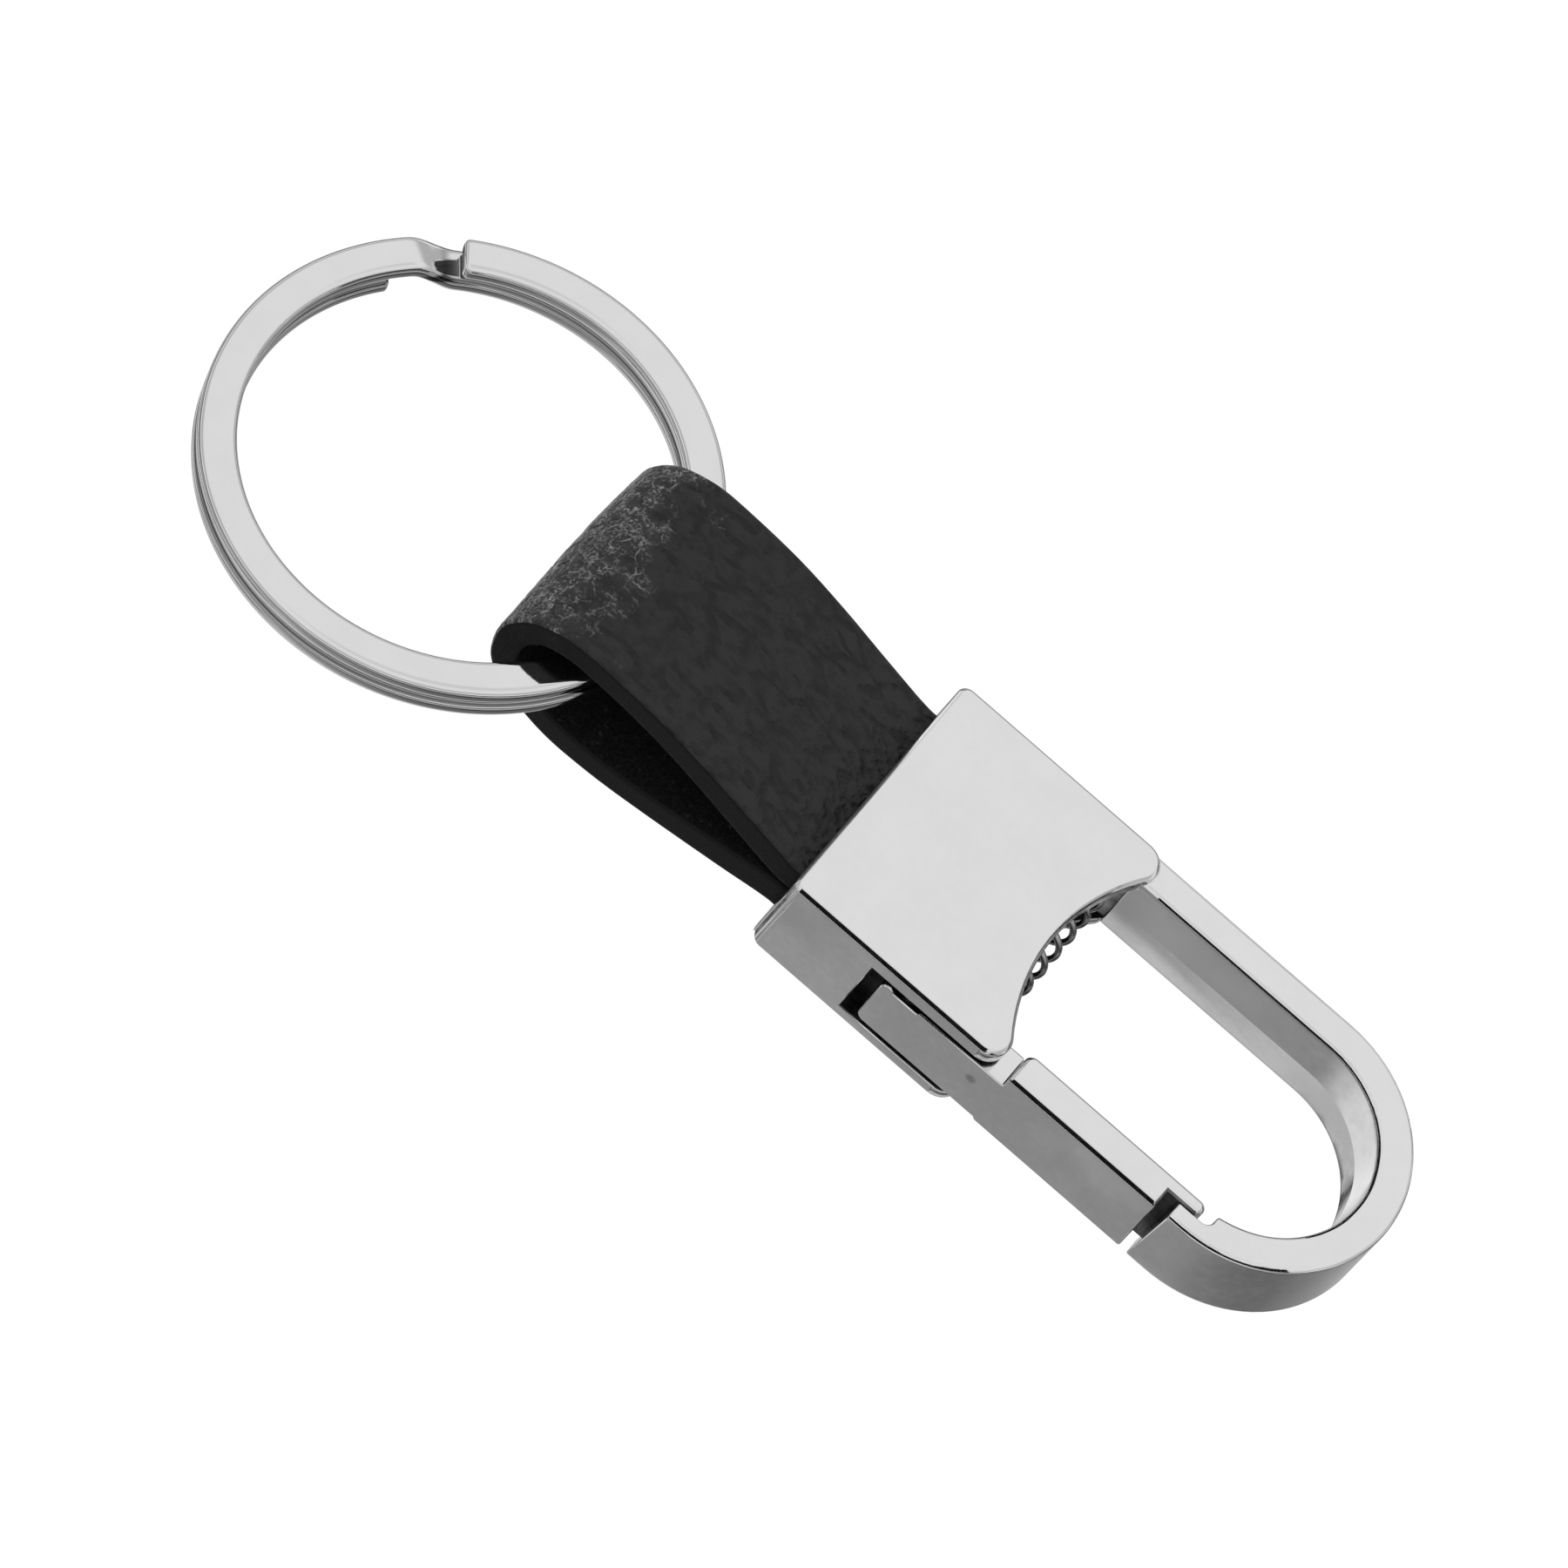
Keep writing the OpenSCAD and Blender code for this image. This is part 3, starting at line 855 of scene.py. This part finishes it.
def card(name, route, z):
    """A narrow curved black card beside a top edge, which mirrors it as a dark line. Only glossy
    rays see it."""
    points = []
    for x, y, out_x, out_y in route:
        for k in range(CARD_STEPS + 1):
            a = CARD_FROM + (CARD_TO - CARD_FROM) * k / CARD_STEPS
            out = CARD_GAP * math.cos(a)
            points.append((x + out * out_x, y + out * out_y, z + CARD_GAP * math.sin(a)))
    n = CARD_STEPS + 1
    faces = [
        (n * i + k, n * i + k + 1, n * i + k + n + 1, n * i + k + n)
        for i in range(len(route) - 1) for k in range(CARD_STEPS)
    ]
    black = object_from(name, points, faces)
    matt = {"Base Color": (0.003, 0.003, 0.003, 1.0), "Specular IOR Level": 0.0, "Roughness": 1.0}
    black.data.materials.append(finish(name, matt)[0])
    for ray in ("camera", "diffuse", "shadow", "transmission", "volume_scatter"):
        setattr(black, "visible_" + ray, False)


def cards():
    """Cards for the near edge of the housing, the near edge of the hook, and its inner edge."""
    low, high = (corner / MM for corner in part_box("clasp_body"))
    bar_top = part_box("gate_lever")[1].z / MM
    bend_x = high.x - high.y
    card("housing_card", edge_route(low.x, -low.x, low.y, 0, 1), high.z)
    bar_x = -low.x + 1
    card("near_bar_card", edge_route(bar_x, bend_x, low.y, NEAR_BEND, 1), bar_top)
    card("far_bar_card", edge_route(bar_x, bend_x, high.y - BAR_WIDTH, FAR_BEND, -1), bar_top)


# ---------- the keyring ----------

def painted(piece, *materials):
    """The piece with its materials, in the order of its material indices."""
    for material in materials:
        piece.data.materials.append(material)
    return piece


def clasp():
    plating = metal("plated_casting", 0.80, 0.13, (0.5, 9.0, 9.0))
    # painted shade: the housing's hollows in near-black metal, the far wall of the spring's chamber
    # painted lighter
    hollow, far_wall = shaded_metal("shaded_interior", 0.05), shaded_metal("chamber_wall", 0.25)
    body = painted(casting("clasp_body", "clasp_casting"), plating, hollow, far_wall)
    belongs(body, "clasp", "clasp_body")
    spotted = metal("plated_gate", 0.80, 0.13, (0.5, 9.0, 9.0), blemish=BLEMISH)
    # painted shade: the gate's faces in the gap at the hook's tip in dark metal
    gate = painted(casting("gate_lever", "gate_casting"), spotted, shaded_metal("shaded_nose", 0.12))
    belongs(gate, "gate", "gate_lever")


def hardware():
    pin_steel = metal("pin_steel", 0.55, 0.28, (12.0, 12.0, 1.0))
    for node, name in (
        ("gate_pivot_pin", "hinge_pin"), ("strap_pin_near", "near_strap_pin"),
        ("strap_pin_far", "far_strap_pin"),
    ):
        belongs(painted(turned_pin(node, name), pin_steel), "clasp", node)
    coil = painted(spring(), metal("spring_steel", 0.34, 0.16, (6.0, 6.0, 6.0)))
    belongs(coil, "clasp", "gate_spring")
    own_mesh(coil)


def leather():
    strip = painted(strap(), grain_leather(), edge_leather(), flesh_leather())
    belongs(strip, "clasp", "leather_strap")


def key_ring():
    steel = metal("ring_steel", 0.78, 0.06, (6.0, 6.0, 14.0), groove=-RING_LAYER)
    # painted shade: the ring's two cut ends in dark metal
    ring = painted(split_ring(), steel, shaded_metal("cut_end", 0.05))
    belongs(ring, "ring", "split_ring")


noise.seed_set(NOISE_SEED)
bpy.context.scene.view_settings.view_transform = "Standard"
camera()
room()
floor()
cards()
clasp()
hardware()
leather()
key_ring()
